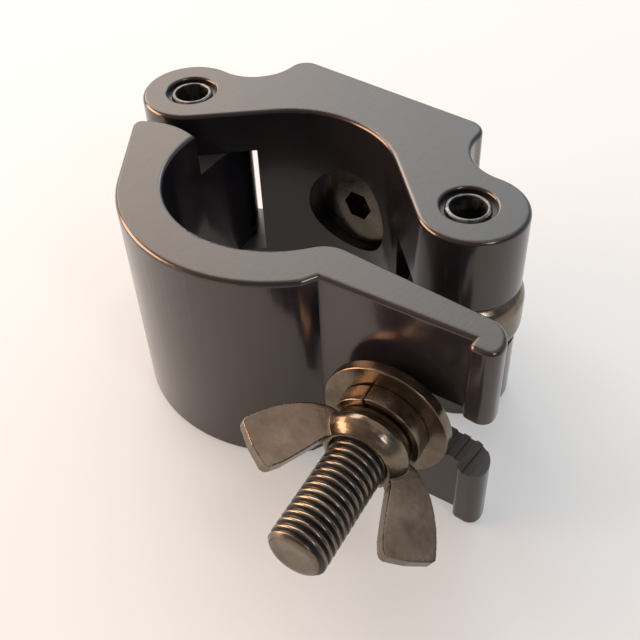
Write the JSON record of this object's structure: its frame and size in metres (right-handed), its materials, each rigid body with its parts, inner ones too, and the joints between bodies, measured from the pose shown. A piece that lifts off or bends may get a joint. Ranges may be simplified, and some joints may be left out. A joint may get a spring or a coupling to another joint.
{
  "type": "pipe clamp",
  "caption": "Half-coupler pipe clamp: a saddle and a hinged flap close round a tube, pulled together by a wing nut on a swing-out eye bolt.",
  "frame": {"origin": "on the axis of the clamped tube, halfway along the clamp's width", "axes": "+Z along the clamped tube, +X from the hinge pin towards the eye-bolt pin, +Y towards the mounting pad"},
  "size_m": [0.123, 0.114, 0.0524],
  "materials": {
    "body_coat": "satin black coating on extruded aluminium",
    "pin_steel": "blackened steel tube, worn bright at the rims",
    "black_steel": "dark bronze-black plated steel"
  },
  "bodies": {
    "saddle_body": {"saddle": "body_coat", "hinge_pin": "pin_steel", "eye_pin": "pin_steel", "mounting_screw": "black_steel"},
    "flap_body": {"flap": "body_coat"},
    "bolt_body": {"eye_bolt": "black_steel"},
    "washer_stack": {"flat_washer": "black_steel", "spring_washer": "black_steel"},
    "nut_body": {"wing_nut": "black_steel"}
  },
  "joints": [
    {"name": "flap_hinge", "type": "hinge", "parent": "saddle_body", "child": "flap_body", "pos_m": [-0.04, 0.0142, 0], "axis": [0, 0, -1], "range_deg": [-3.4, 8.9]},
    {"name": "bolt_swing", "type": "hinge", "parent": "saddle_body", "child": "bolt_body", "pos_m": [0.0389, 0.0142, 0], "axis": [0, 0, 1], "range_deg": [-2.1, 0.9]},
    {"name": "nut_travel", "type": "slide", "parent": "bolt_body", "child": "washer_stack", "axis": [0.1461, -0.9893, 0], "range_m": [-0.00768, 0.02]},
    {"name": "nut_spin", "type": "hinge", "parent": "washer_stack", "child": "nut_body", "pos_m": [0.04, 0.0142, 0], "axis": [0.1461, -0.9893, 0], "range_deg": [-1575, 4110]}
  ],
  "couplings": [
    {"joint": "nut_travel", "follows": "nut_spin", "m_per_rad": 0.00027852},
    {"joint": "flap_hinge", "follows": "nut_spin", "ratio": 0.00214},
    {"joint": "bolt_swing", "follows": "nut_spin", "ratio": -0.0005}
  ]
}
